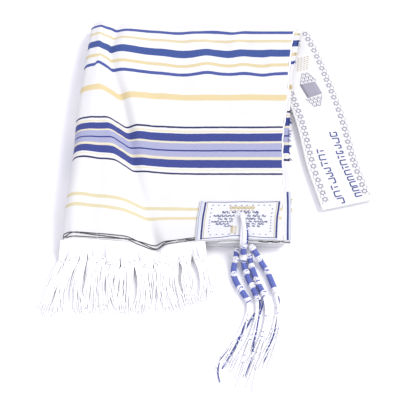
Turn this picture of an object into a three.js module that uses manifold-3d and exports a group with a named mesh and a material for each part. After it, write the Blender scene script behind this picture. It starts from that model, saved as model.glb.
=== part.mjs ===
// A tallit prayer shawl, folded in eight and laid down: striped cloth with a puffed left fold, a knotted hem
// fringe, corner patches, four wound corner tassels and a neck band that fans out at the right.
// Millimetres, +Z up, resting on Z = 0, with the front hem towards -Y.
import * as THREE from "three";
import { mergeVertices } from "three/addons/utils/BufferGeometryUtils.js";
import Module from "manifold-3d";

// Thicknesses of the cloths, and the air left between two that lie on each other
const SHAWL_CLOTH = 1.6;
const BAND_CLOTH = 1.2;
const PATCH_CLOTH = 1.0;
const GAP = 0.3;
const SECOND_DROP = 3.7; // the second layer lies this far below the front layer
const CORE_DROP = 6.3; // and the folded layers' top this far below

// The folded layers at the floor, and the height of their lowest fold
const FLOOR_FOLD = 7.4;
const TUCK_HEIGHT = 10.2;

// The neck band, and the strip of shawl it is sewn to, folded flat under it
const BAND_WIDTH = 68;
const NECK_FOLD_HEIGHT = 5.4;

// Corner patches, measured along the cloth, and the corner tassels
const PATCH_HEIGHT = 69;
const PATCH_WIDTH = 100;
const PATCH_HEM = 1; // the front patch starts this far up from the hem
const WOUND_RADIUS = 3.2;
const CORD_SIDES = 10;

// The front layer by its lines across the cloth, from the hem to the back fold. v is the distance from
// the hem along the cloth and y where that line lies. slip is how far the left fold has slid back
// there, and pull how far the crease has. left, ridge, valley and right are X; crest, edge, dip, swell
// and flat are the heights of the left fold, its ridge, the crease beside it, the swelling past that
// and the flat stack.
const LINES = [
  {
    v: 0, y: -133, slip: 2, pull: -3, left: -175,
    ridge: -101, valley: -63, right: 92, crest: 27, edge: 25, dip: 3.4, swell: 15, flat: 23,
  },
  {
    v: 20, y: -116, slip: 4, pull: -2, left: -174.5,
    ridge: -103, valley: -68, right: 91.5, crest: 33, edge: 30, dip: 8, swell: 15, flat: 20,
  },
  {
    v: 45, y: -98, slip: 8, pull: 1, left: -174,
    ridge: -106, valley: -73, right: 91, crest: 38, edge: 34, dip: 14, swell: 16, flat: 18,
  },
  {
    v: 59, y: -85, slip: 9, pull: 2, left: -173,
    ridge: -107, valley: -77, right: 92, crest: 40, edge: 36, dip: 17, swell: 18, flat: 18.5,
  },
  {
    v: 116, y: -33, slip: 11, pull: 4, left: -169,
    ridge: -117, valley: -91, right: 94, crest: 43, edge: 42, dip: 20, swell: 23, flat: 20,
  },
  {
    v: 153, y: 4, slip: 6, pull: 4, left: -168,
    ridge: -122, valley: -97, right: 94, crest: 42, edge: 42, dip: 20, swell: 23, flat: 20,
  },
  {
    v: 190, y: 41, slip: -1, pull: 0, left: -168,
    ridge: -128, valley: -103, right: 97, crest: 41, edge: 42, dip: 19, swell: 25, flat: 20,
  },
  {
    v: 238, y: 89, slip: -2, pull: 0, left: -165,
    ridge: -137, valley: -113, right: 103, crest: 43, edge: 44, dip: 21, swell: 27, flat: 20,
  },
  {
    v: 280, y: 130, slip: -4, pull: 1, left: -162,
    ridge: -141, valley: -124, right: 106, crest: 43, edge: 44, dip: 25, swell: 28, flat: 20,
  },
  {
    v: 315, y: 165, slip: 0, pull: -1, left: -159,
    ridge: -136, valley: -128, right: 110, crest: 40, edge: 36, dip: 28, swell: 32, flat: 20,
  },
  {
    v: 351, y: 201, slip: 0, pull: 0, left: -157,
    ridge: -135, valley: -122, right: 115, crest: 34, edge: 31, dip: 23, swell: 26, flat: 20,
  },
  {
    v: 363, y: 211, slip: 0, pull: 0, left: -154,
    ridge: -134, valley: -121, right: 119, crest: 30, edge: 29, dip: 22.5, swell: 24, flat: 20,
  },
];

// Low waves in the flat stack: centre, half sizes along X and Y, and height
const WAVES = [
  { x: -12, y: 140, across: 22, along: 60, high: 1.6 },
  { x: 22, y: 150, across: 16, along: 45, high: -1.5 },
  { x: 64, y: 120, across: 20, along: 50, high: -1.2 },
  { x: 44, y: -128, across: 22, along: 26, high: 2 },
];

// The back fold: how far it stands out past the last line, and the share of the height above the tuck
// it keeps
const BACK_FOLD = [
  { v: 370, out: 5.5, keep: 0.82 },
  { v: 376, out: 8, keep: 0.5 },
  { v: 383, out: 9.2, keep: 0.12 },
];

// The right edge of the second layer, which stands out past the front one
const SECOND_EDGE = [
  { y: -135, right: 101.5 },
  { y: -70, right: 104 },
  { y: 0, right: 104 },
  { y: 50, right: 106 },
  { y: 130, right: 112 },
  { y: 190, right: 123 },
  { y: 208, right: 125 },
];

// Folds of the hidden layers, from their top edge down: share of the height above the floor fold, and
// how far out
const UPPER_FOLDS = [
  { share: 0.92, out: 1.6 },
  { share: 0.74, out: 2.1 },
  { share: 0.57, out: 1.5 },
  { share: 0.5, out: -0.8 },
  { share: 0.42, out: 0.9 },
  { share: 0.22, out: 1.4 },
  { share: 0.07, out: 0.6 },
  { share: 0, out: -1.4 },
];
// The lowest fold: height, and how far it stands out
const LOWER_FOLD = [
  { z: FLOOR_FOLD, out: 0.4 },
  { z: 5.8, out: 2.2 },
  { z: 3.2, out: 2.7 },
  { z: 1.0, out: 1.6 },
  { z: 0, out: 0 },
];

// The middle line of the neck band, from under the stack to its folded end
const BAND_LINE = [
  [104, 213],
  [121, 166],
  [131, 131],
  [149, 60],
  [160, -8],
  [166, -33],
  [175.5, -71],
];

// Fringe: columns along the hem, with where the knots and the ends lie
const FRINGE = [
  { hem: -173, knotX: -177, knotY: -147, endX: -203, endY: -221 },
  { hem: -160, knotX: -163, knotY: -149, endX: -181, endY: -222 },
  { hem: -145, knotX: -146, knotY: -150, endX: -152, endY: -226 },
  { hem: -130, knotX: -130, knotY: -152, endX: -134, endY: -218 },
  { hem: -115, knotX: -115, knotY: -154, endX: -116, endY: -219 },
  { hem: -101, knotX: -100, knotY: -155, endX: -98, endY: -223 },
  { hem: -87, knotX: -86, knotY: -155, endX: -82, endY: -222 },
  { hem: -74, knotX: -72, knotY: -155, endX: -68, endY: -207 },
  { hem: -62, knotX: -60, knotY: -154, endX: -56, endY: -221 },
  { hem: -48, knotX: -47, knotY: -152, endX: -41, endY: -218 },
  { hem: -33, knotX: -32, knotY: -150, endX: -24, endY: -211 },
  { hem: -19, knotX: -17, knotY: -150, endX: -6, endY: -205 },
  { hem: -9, knotX: -5, knotY: -152, endX: 4, endY: -192 },
];
const FRINGE_HEIGHT = 5;

// Routes of the four corner tassels: the wound cord, then the sheaf of loose strings that leaves its end
const TASSELS = [
  {
    cord: [
      [37, -139, 13], [35.5, -145, 12], [34, -152, 9], [32, -160, 5], [31.5, -167, 4], [33, -176, 3.9],
      [37.5, -187, 3.9], [45, -200, 3.9], [49, -207, 3.9],
    ],
    strings: [[51, -211], [47, -226], [39, -250], [29, -268], [19, -284], [11, -300]],
  },
  {
    cord: [
      [42.4, -95, 24.3], [43.5, -106, 25.3], [44.8, -118, 27.5], [45, -129, 29.8],
      [44.6, -137, 29.9], [43.8, -144, 25],
      [43.2, -148.5, 17], [43.4, -153, 9.5], [44.6, -159, 4.6], [46.5, -167, 3.9],
      [50.6, -180, 3.9], [56, -193, 3.9],
      [60, -205, 3.9],
    ],
    strings: [[61, -209], [59, -224], [53, -248], [44, -272], [34, -294], [25, -314]],
  },
  {
    cord: [
      [48.5, -139, 15], [50, -144, 12], [51.5, -151, 8], [53.5, -160, 4], [56.5, -170, 3.9],
      [60.5, -182, 3.9],
      [65, -193, 3.9], [68.5, -201, 3.9],
    ],
    strings: [[70, -205.5], [70.5, -222], [67, -246], [58.5, -272], [48.5, -298], [39.5, -326]],
  },
  {
    cord: [
      [51, -139.5, 21.5], [56, -144, 17.5], [61, -149.5, 11.5], [67, -157, 4.8], [72, -166, 3.9],
      [76, -177, 3.9],
      [79.5, -188, 3.9], [81.5, -197, 3.9],
    ],
    strings: [[82.5, -201], [83.5, -220], [80.5, -244], [72, -270], [63, -290], [57, -304]],
  },
];
const STRINGS_HEIGHT = 3.6;

const WHITE = 0xf7f7f8;
const BLUE = 0x4c63c4;

const wasm = await Module();
wasm.setup();

// Smooth curve through a column of numbers, with no overshoot between two of them.
function curveThrough(xs, ys) {
  const n = xs.length;
  const step = xs.slice(1).map((x, i) => x - xs[i]);
  const slope = step.map((h, i) => (ys[i + 1] - ys[i]) / h);
  const tangent = ys.map((_, i) => {
    if (i === 0) return slope[0];
    if (i === n - 1) return slope[n - 2];
    const [a, b] = [slope[i - 1], slope[i]];
    return a * b <= 0 ? 0 : (2 * a * b) / (a + b);
  });
  return (x) => {
    let i = 0;
    while (i < n - 2 && x > xs[i + 1]) i += 1;
    const h = step[i];
    const t = THREE.MathUtils.clamp((x - xs[i]) / h, 0, 1);
    const [t2, t3] = [t * t, t * t * t];
    return (
      (2 * t3 - 3 * t2 + 1) * ys[i] +
      (t3 - 2 * t2 + t) * h * tangent[i] +
      (3 * t2 - 2 * t3) * ys[i + 1] +
      (t3 - t2) * h * tangent[i + 1]
    );
  };
}

// One curve for each named column of a table, by its first column.
function curvesOf(table, by) {
  const at = table.map((row) => row[by]);
  const names = Object.keys(table[0]).filter((name) => name !== by);
  const curves = Object.fromEntries(
    names.map((name) => [name, curveThrough(at, table.map((row) => row[name]))]),
  );
  return (x) => Object.fromEntries(names.map((name) => [name, curves[name](x)]));
}

const lineAt = curvesOf(LINES, "v");
const alongAt = curveThrough(LINES.map((row) => row.y), LINES.map((row) => row.v));
const secondRight = curveThrough(SECOND_EDGE.map((row) => row.y), SECOND_EDGE.map((row) => row.right));
const LAST_LINE = LINES.at(-1);
const BACK_ROWS = [{ v: LAST_LINE.v, out: 0, keep: 1 }, ...BACK_FOLD];
const backAt = curvesOf(BACK_ROWS, "v");

function waves(x, y) {
  return WAVES.reduce(
    (sum, w) => sum + w.high * Math.exp(-(((x - w.x) / w.across) ** 2) - ((y - w.y) / w.along) ** 2),
    0,
  );
}

// Top of the flat stack at a place on it.
function stackTop(x, y) {
  return lineAt(alongAt(y)).flat + waves(x, y);
}

// The front layer's line at distance v: its points from the tuck under the left fold to the right edge.
function sectionAt(v) {
  const row = lineAt(Math.min(v, LAST_LINE.v));
  const side = TUCK_HEIGHT + 0.62 * (row.crest - TUCK_HEIGHT);
  const far = (x) => row.flat + waves(x, row.y);
  const ease = row.valley + 50;
  const mid = row.valley + 85;
  const place = (x, z, slip, pull) => new THREE.Vector3(x, row.y + slip * row.slip + pull * row.pull, z);
  const points = [
    place(row.left + 15, TUCK_HEIGHT - 0.6, 1, 0),
    place(row.left + 6, TUCK_HEIGHT, 1, 0),
    place(row.left + 1, TUCK_HEIGHT + 0.45 * (side - TUCK_HEIGHT), 1, 0),
    place(row.left, side, 1, 0),
    place(row.left + 4.5, row.crest - 3.4, 1, 0),
    place(row.left + 14, row.crest, 1, 0),
    place(row.ridge - 2, row.edge, 0.3, 1),
    place((row.ridge + row.valley) / 2, (row.edge + row.dip) / 2, 0.15, 1),
    place(row.valley, row.dip, 0, 1),
    place(row.valley + 14, row.swell, 0, 0.5),
    place(ease, 0.3 * row.swell + 0.7 * far(ease), 0, 0),
    place(mid, far(mid), 0, 0),
    ...[0.2, 0.4, 0.6, 0.8, 1].map((share) => {
      const x = mid + (row.right - mid) * share;
      return place(x, far(x), 0, 0);
    }),
  ];
  if (v > LAST_LINE.v) {
    const back = backAt(v);
    points.forEach((p) => {
      p.y += back.out;
      p.z = TUCK_HEIGHT + (p.z - TUCK_HEIGHT) * back.keep;
    });
  }
  return points;
}

const SECTION_POINTS = 17;
const LEFT_CREST = 5; // the section point on the left fold's crest

// A point of the front layer: u counts section points from the left tuck, v is millimetres from the hem.
function frontPoint(u, v) {
  const points = sectionAt(v);
  const at = points.map((_, i) => i);
  const [x, y, z] = ["x", "y", "z"].map((axis) => curveThrough(at, points.map((p) => p[axis]))(u));
  return new THREE.Vector3(x, y, z);
}

function gridOf(us, vs, point) {
  return vs.map((v) => us.map((u) => point(u, v)));
}

function spread(from, to, steps) {
  return Array.from({ length: steps + 1 }, (_, i) => from + ((to - from) * i) / steps);
}

// Unit normals of a grid of points, facing up where the grid runs to +X along a row and to +Y up the rows.
function normalsOf(grid) {
  const last = [grid.length - 1, grid[0].length - 1];
  return grid.map((row, j) =>
    row.map((_, i) => {
      const along = grid[j][Math.min(i + 1, last[1])].clone().sub(grid[j][Math.max(i - 1, 0)]);
      const up = grid[Math.min(j + 1, last[0])][i].clone().sub(grid[Math.max(j - 1, 0)][i]);
      return along.cross(up).normalize();
    }),
  );
}

// A closed solid between two grids of points of the same size, the first on top.
function solidBetween(top, under) {
  const [rows, columns] = [top.length, top[0].length];
  const points = [...top.flat(), ...under.flat()];
  const at = (side, j, i) => side * rows * columns + j * columns + i;
  const faces = [];
  const quad = (a, b, c, d) => faces.push(a, b, c, a, c, d);
  for (let j = 0; j < rows - 1; j += 1) {
    for (let i = 0; i < columns - 1; i += 1) {
      quad(at(0, j, i), at(0, j, i + 1), at(0, j + 1, i + 1), at(0, j + 1, i));
      quad(at(1, j, i), at(1, j + 1, i), at(1, j + 1, i + 1), at(1, j, i + 1));
    }
  }
  for (let i = 0; i < columns - 1; i += 1) {
    quad(at(1, 0, i), at(1, 0, i + 1), at(0, 0, i + 1), at(0, 0, i));
    quad(at(0, rows - 1, i), at(0, rows - 1, i + 1), at(1, rows - 1, i + 1), at(1, rows - 1, i));
  }
  for (let j = 0; j < rows - 1; j += 1) {
    quad(at(0, j, 0), at(0, j + 1, 0), at(1, j + 1, 0), at(1, j, 0));
    quad(at(1, j, columns - 1), at(1, j + 1, columns - 1), at(0, j + 1, columns - 1), at(0, j, columns - 1));
  }
  return geometryOf(points, faces);
}

function geometryOf(points, faces) {
  const geometry = new THREE.BufferGeometry().setFromPoints(points);
  geometry.setIndex(faces);
  geometry.computeVertexNormals();
  return geometry;
}

// A cloth of even thickness below a grid of points.
function clothUnder(grid, thickness) {
  const normals = normalsOf(grid);
  return solidBetween(
    grid,
    grid.map((row, j) => row.map((p, i) => p.clone().addScaledVector(normals[j][i], -thickness))),
  );
}

function raised(grid, height) {
  return grid.map((row) => row.map((p) => new THREE.Vector3(p.x, p.y, p.z + height)));
}

const object = new THREE.Group();
const cords = new THREE.Group();

function addPiece(name, geometry, color, group = object) {
  const material = new THREE.MeshStandardMaterial({ color, roughness: 0.9, metalness: 0 });
  const mesh = new THREE.Mesh(geometry, material);
  mesh.name = name;
  group.add(mesh);
}

// Front layer: the half of the shawl that shows, from the right edge over the left fold and over the
// back fold
const FRONT_COLUMNS = [
  ...spread(0, 5, 9),
  ...spread(5, 9, 8).slice(1),
  ...spread(9, SECTION_POINTS - 1, 7).slice(1),
];
const FRONT_ROWS = [...spread(0, LAST_LINE.v, 25), ...BACK_FOLD.map((row) => row.v)];
addPiece("front_layer", clothUnder(gridOf(FRONT_COLUMNS, FRONT_ROWS, frontPoint), SHAWL_CLOTH), WHITE);

// Second layer: the other half of the width, seen past the front layer's right edge and hem
const SECOND_LEFT = 12;
const SECOND_PATCH_Y = [-132, -57];
const SECOND_SHARES = [...spread(0, 0.9, 6), 0.985, 1];
const SECOND_ROWS = [-135, ...spread(...SECOND_PATCH_Y, 6), ...spread(SECOND_PATCH_Y[1], 203, 11).slice(1)];
const secondGrid = gridOf(SECOND_SHARES, SECOND_ROWS, (share, y) => {
  const x = SECOND_LEFT + (secondRight(y) - SECOND_LEFT) * share;
  return new THREE.Vector3(x, y, stackTop(Math.min(x, lineAt(alongAt(y)).right), y) - SECOND_DROP);
});
addPiece("second_layer", clothUnder(secondGrid, SHAWL_CLOTH), WHITE);

// Neck band and the folded strip of cloth below it
const bandCurve = new THREE.CatmullRomCurve3(BAND_LINE.map(([x, y]) => new THREE.Vector3(x, y, 0)));
const UP = new THREE.Vector3(0, 0, 1);

function bandPoint(across, along, height) {
  const middle = bandCurve.getPointAt(along);
  const aside = UP.clone().cross(bandCurve.getTangentAt(along)).normalize();
  return middle.addScaledVector(aside, across).setZ(height);
}

function bandGrid(halfWidth, from, to, steps, heightAt) {
  return gridOf([-1, -0.5, 0, 0.5, 1], spread(to, from, steps), (share, along) =>
    bandPoint(-share * halfWidth, along, heightAt(share, along)),
  ).map((row) => row.reverse());
}

// The height of the folded strip: rounded down at its folded end, and a little crowned
function neckFoldTop(share, along) {
  const end = THREE.MathUtils.clamp((1 - along) / 0.03, 0, 1);
  const side = Math.abs(share) > 0.9 ? 0.75 : 1;
  return 1.2 + (NECK_FOLD_HEIGHT - 1.2) * Math.sqrt(end * (2 - end)) * side;
}

const NECK_END = 0.985;
const neckTop = bandGrid(BAND_WIDTH / 2 - 2, 0.02, NECK_END, 22, neckFoldTop);
addPiece("neck_fold", solidBetween(neckTop, neckTop.map((row) => row.map((p) => p.clone().setZ(0)))), WHITE);

const bandTop = bandGrid(BAND_WIDTH / 2, 0.004, 1, 26, () => NECK_FOLD_HEIGHT + GAP + BAND_CLOTH);
addPiece("neck_band", clothUnder(bandTop, BAND_CLOTH), WHITE);

// Folded layers: every hidden layer as one rounded solid, its folds showing as lips all round
const CORE_FRONT = 7;
const CORE_COLUMNS = [...spread(LEFT_CREST + 0.15, 9, 7), ...spread(9, SECTION_POINTS - 1, 7).slice(1)];
const CORE_SHARES = spread(0, 1, 12);

function coreFront(x) {
  const crease = Math.exp(-(((x + 63) / 34) ** 2));
  return CORE_FRONT + 40 * crease;
}

function corePoint(u, share) {
  const from = coreFront(frontPoint(u, 0).x);
  const p = frontPoint(u, from + (LAST_LINE.v - 4 - from) * share);
  return p.setZ(Math.max(p.z - CORE_DROP, FLOOR_FOLD + 1.6));
}

function coreGeometry() {
  const top = gridOf(CORE_COLUMNS, CORE_SHARES, corePoint);
  const [rows, columns] = [top.length, top[0].length];
  const rim = [];
  for (let i = 0; i < columns; i += 1) rim.push([0, i]);
  for (let j = 1; j < rows; j += 1) rim.push([j, columns - 1]);
  for (let i = columns - 2; i >= 0; i -= 1) rim.push([rows - 1, i]);
  for (let j = rows - 2; j > 0; j -= 1) rim.push([j, 0]);
  const edge = rim.map(([j, i]) => top[j][i]);
  const outward = edge.map((_, k) => {
    const ahead = edge[(k + 1) % edge.length].clone().sub(edge[(k + edge.length - 1) % edge.length]);
    return new THREE.Vector3(ahead.y, -ahead.x, 0).normalize();
  });
  // Under the left and back folds the front layer covers the upper folds, so only the lowest one stands
  // out there
  const covered = rim.map(([j, i]) => ((i === 0 && j > 0) || j === rows - 1 ? 1 : 0));
  const ring = (heightOf, out) =>
    edge.map((p, k) => p.clone().addScaledVector(outward[k], out(covered[k])).setZ(heightOf(p)));
  const rings = [
    edge,
    ...UPPER_FOLDS.map((fold) =>
      ring(
        (p) => FLOOR_FOLD + 0.4 + (p.z - FLOOR_FOLD - 0.4) * fold.share,
        (cover) => (cover ? -0.5 : fold.out),
      ),
    ),
    ...LOWER_FOLD.map((fold) => ring(() => fold.z, (cover) => fold.out + cover * 9.5)),
  ];
  const points = [...top.flat()];
  const rimStart = rim.map(([j, i]) => j * columns + i);
  const starts = [rimStart];
  rings.slice(1).forEach((loop) => {
    starts.push(loop.map((_, k) => points.length + k));
    points.push(...loop);
  });
  const faces = [];
  const quad = (a, b, c, d) => faces.push(a, b, c, a, c, d);
  for (let j = 0; j < rows - 1; j += 1) {
    for (let i = 0; i < columns - 1; i += 1) {
      const a = j * columns + i;
      quad(a, a + 1, a + columns + 1, a + columns);
    }
  }
  for (let r = 0; r < starts.length - 1; r += 1) {
    edge.forEach((_, k) => {
      const next = (k + 1) % edge.length;
      quad(starts[r + 1][k], starts[r + 1][next], starts[r][next], starts[r][k]);
    });
  }
  // The flat underside: the floor ring closed over the inner points of the grid, set down on the floor
  const floor = new Map(rim.map(([j, i], k) => [j * columns + i, starts.at(-1)[k]]));
  for (let j = 1; j < rows - 1; j += 1) {
    for (let i = 1; i < columns - 1; i += 1) {
      floor.set(j * columns + i, points.length);
      points.push(top[j][i].clone().setZ(0));
    }
  }
  for (let j = 0; j < rows - 1; j += 1) {
    for (let i = 0; i < columns - 1; i += 1) {
      const a = j * columns + i;
      const b = a + 1;
      const c = b + columns;
      const d = a + columns;
      quad(floor.get(a), floor.get(d), floor.get(c), floor.get(b));
    }
  }
  return geometryOf(points, faces);
}

function solidOf(geometry) {
  const bare = new THREE.BufferGeometry();
  bare.setAttribute("position", geometry.getAttribute("position"));
  bare.setIndex(geometry.getIndex());
  const merged = mergeVertices(bare, 1e-3);
  return new wasm.Manifold(
    new wasm.Mesh({
      numProp: 3,
      vertProperties: new Float32Array(merged.getAttribute("position").array),
      triVerts: new Uint32Array(merged.getIndex().array),
    }),
  );
}

function geometryFrom(solid) {
  const mesh = solid.getMesh();
  const geometry = new THREE.BufferGeometry();
  geometry.setAttribute("position", new THREE.BufferAttribute(mesh.vertProperties, 3));
  geometry.setIndex(new THREE.BufferAttribute(mesh.triVerts, 1));
  geometry.computeVertexNormals();
  return geometry;
}

// Room for the neck band where it runs out from under the folded layers
const BAND_ROOM = 1;
const BAND_SPACE_TOP = NECK_FOLD_HEIGHT + BAND_CLOTH + BAND_ROOM;
const bandSpace = bandGrid(BAND_WIDTH / 2 + BAND_ROOM, 0, 1, 26, () => BAND_SPACE_TOP);
const bandSpaceFloor = bandSpace.map((row) => row.map((p) => p.clone().setZ(-1)));
const core = solidOf(coreGeometry()).subtract(solidOf(solidBetween(bandSpace, bandSpaceFloor)));
const largest = core.decompose().sort((a, b) => b.volume() - a.volume())[0];
addPiece("folded_layers", geometryFrom(largest), WHITE);

// Corner patches: one sewn on the front layer, one on the second layer, of which a strip shows
const patchU = (x, v) => {
  let [low, high] = [9, SECTION_POINTS - 1];
  for (let i = 0; i < 24; i += 1) {
    const middle = (low + high) / 2;
    if (frontPoint(middle, v).x < x) low = middle;
    else high = middle;
  }
  return low;
};
const frontPatch = gridOf(spread(0, 1, 12), spread(PATCH_HEM, PATCH_HEM + PATCH_HEIGHT, 8), (share, v) => {
  const right = lineAt(v).right - 1.5;
  return frontPoint(patchU(right - PATCH_WIDTH * (1 - share), v), v);
});
addPiece("corner_patch_front", clothUnder(raised(frontPatch, 2 * GAP + PATCH_CLOTH), PATCH_CLOTH), WHITE);

const secondPatch = secondGrid.slice(1, 8).map((row) => row.slice(1, -1));
addPiece("corner_patch_second", clothUnder(raised(secondPatch, GAP + PATCH_CLOTH), PATCH_CLOTH), WHITE);

// Hem fringe: a plain solid of its reach, hanging from the hem to the floor and lying out over it
const hemX = spread(0, SECTION_POINTS - 1, 60).map((u) => frontPoint(u, 0));

function hemAt(x) {
  const i = Math.max(1, hemX.findIndex((p, k) => k > LEFT_CREST * 4 && p.x >= x));
  const [a, b] = [hemX[i - 1], hemX[i]];
  return a.clone().lerp(b, THREE.MathUtils.clamp((x - a.x) / (b.x - a.x), 0, 1));
}

const FRINGE_STAGES = [0, 0.35, 0.75, 1, 1.4, 1.75, 2];
const fringeTop = FRINGE_STAGES.map((stage) =>
  FRINGE.map((lock) => {
    const hem = hemAt(Math.max(lock.hem, -160));
    const clear = lock.hem < -165 ? 1.6 : 0.6;
    const start = new THREE.Vector3(lock.hem, hem.y - clear, Math.min(hem.z, 26) - 0.5);
    const knot = new THREE.Vector3(lock.knotX, lock.knotY, FRINGE_HEIGHT + 1);
    const end = new THREE.Vector3(lock.endX, lock.endY, 1.6);
    const p = stage <= 1 ? start.clone().lerp(knot, stage) : knot.clone().lerp(end, stage - 1);
    if (stage > 1) p.z = stage === 2 ? 1.6 : FRINGE_HEIGHT;
    if (stage > 0 && stage < 1) p.z = knot.z + (start.z - knot.z) * (1 - stage) ** 1.3;
    return p;
  }),
).reverse();
const fringeFloor = fringeTop.map((row) => row.map((p) => p.clone().setZ(0)));
addPiece("hem_fringe", solidBetween(fringeTop, fringeFloor), WHITE);

// Corner tassels: the wound cord as a round tube, and its loose strings as one flat sheaf
function roundSection(radius) {
  const section = new THREE.Shape();
  section.absarc(0, 0, radius, 0, Math.PI * 2);
  return section;
}

function cordTube(points, steps) {
  const path = new THREE.CatmullRomCurve3(points.map((p) => new THREE.Vector3(...p)));
  return new THREE.ExtrudeGeometry(roundSection(WOUND_RADIUS), {
    steps,
    curveSegments: CORD_SIDES / 2,
    bevelEnabled: false,
    extrudePath: path,
  });
}

function sheafTop(points, startWidth, endWidth) {
  const path = new THREE.CatmullRomCurve3(points.map(([x, y]) => new THREE.Vector3(x, y, 0)));
  return gridOf([1, 0.55, -0.55, -1], spread(0, 1, 9), (share, along) => {
    const aside = UP.clone().cross(path.getTangentAt(along)).normalize();
    const half = (startWidth + (endWidth - startWidth) * along) / 2;
    const height = Math.abs(share) > 0.9 ? 0.8 : STRINGS_HEIGHT * (1 - 0.45 * along);
    return path.getPointAt(along).addScaledVector(aside, -share * half).setZ(height);
  });
}

TASSELS.forEach((tassel, k) => {
  const number = k + 1;
  addPiece(`tassel_${number}_wound`, cordTube(tassel.cord, tassel.cord.length * 2), BLUE, cords);
  const top = sheafTop(tassel.strings, 5.5, 8).reverse();
  const flat = top.map((row) => row.map((p) => p.clone().setZ(0)));
  addPiece(`tassel_${number}_strings`, solidBetween(top, flat), WHITE, cords);
});

// The frame's origin is under the middle of the object, measured without its tassels
const middle = new THREE.Box3().setFromObject(object).getCenter(new THREE.Vector3());
const shawl = new THREE.Group();
shawl.add(object, cords);
shawl.position.set(-middle.x, -middle.y, 0);

export default shawl;
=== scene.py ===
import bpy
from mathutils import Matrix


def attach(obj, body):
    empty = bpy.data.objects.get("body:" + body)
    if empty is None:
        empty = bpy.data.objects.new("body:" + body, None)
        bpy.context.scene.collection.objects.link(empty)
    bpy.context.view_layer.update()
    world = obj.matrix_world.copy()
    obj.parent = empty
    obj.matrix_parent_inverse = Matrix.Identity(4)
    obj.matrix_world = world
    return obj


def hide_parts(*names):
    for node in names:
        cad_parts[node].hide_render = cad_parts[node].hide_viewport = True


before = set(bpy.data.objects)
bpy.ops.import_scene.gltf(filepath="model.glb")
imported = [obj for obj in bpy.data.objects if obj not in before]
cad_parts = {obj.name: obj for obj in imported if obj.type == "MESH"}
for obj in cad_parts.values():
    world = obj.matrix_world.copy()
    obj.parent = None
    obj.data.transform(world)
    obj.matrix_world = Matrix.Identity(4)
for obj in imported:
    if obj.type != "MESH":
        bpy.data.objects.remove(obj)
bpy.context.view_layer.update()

import math
import random

import bpy
import numpy as np

# ---- Camera
# A long lens looks down at the folded shawl from its hem side, square to the hem.
VIEW_TARGET = (-0.00274, -0.06928, 0.0)
VIEW_DISTANCE = 1.70
VIEW_ELEVATION = math.radians(56)
VIEW_LENS = 117.98

camera_data = bpy.data.cameras.new("view")
camera_data.sensor_width = 36
camera_data.lens = VIEW_LENS
camera = bpy.data.objects.new("view", camera_data)
camera.location = (
    VIEW_TARGET[0],
    VIEW_TARGET[1] - VIEW_DISTANCE * math.cos(VIEW_ELEVATION),
    VIEW_DISTANCE * math.sin(VIEW_ELEVATION),
)
camera.rotation_euler = (math.pi / 2 - VIEW_ELEVATION, 0, 0)
bpy.context.collection.objects.link(camera)
bpy.context.scene.camera = camera

# ---- Corner tassels
# Each corner has a cord of eight acrylic strings, wound with a blue string between double knots, whose eight
# ends hang loose. They are hand tied through a worked eyelet, and lie limp on the cloth and the table.
MM = 0.001
# The tables below count from the fold lines, and the frame from the middle of the whole
TABLE_SHIFT = np.array([-2.7424, 0.7174, 0.0])
UP = np.array([0.0, 0.0, 1.0])
CORD_DIAMETER = 6.6
CORE_PLY_RADIUS = 1.05
CORE_PLIES = 6
PLY_LAY = 26  # the length of cord in which a ply goes once round
WINDING_RADIUS = 0.62
WINDING_PITCH = 1.15
WOUND_RADIUS = 3.0
STRING_DIAMETER = 2.0
STRINGS_PER_TASSEL = 8
# The second tassel's upper strings lie spread on the patch: how far aside each goes, the blue one first
SPREAD_SHARES = (0.8, -1.0, -0.7, -0.3, 0.1, 0.45)
KNOT_THREAD_RADIUS = 1.1
STEPS_PER_TURN = 14

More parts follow.
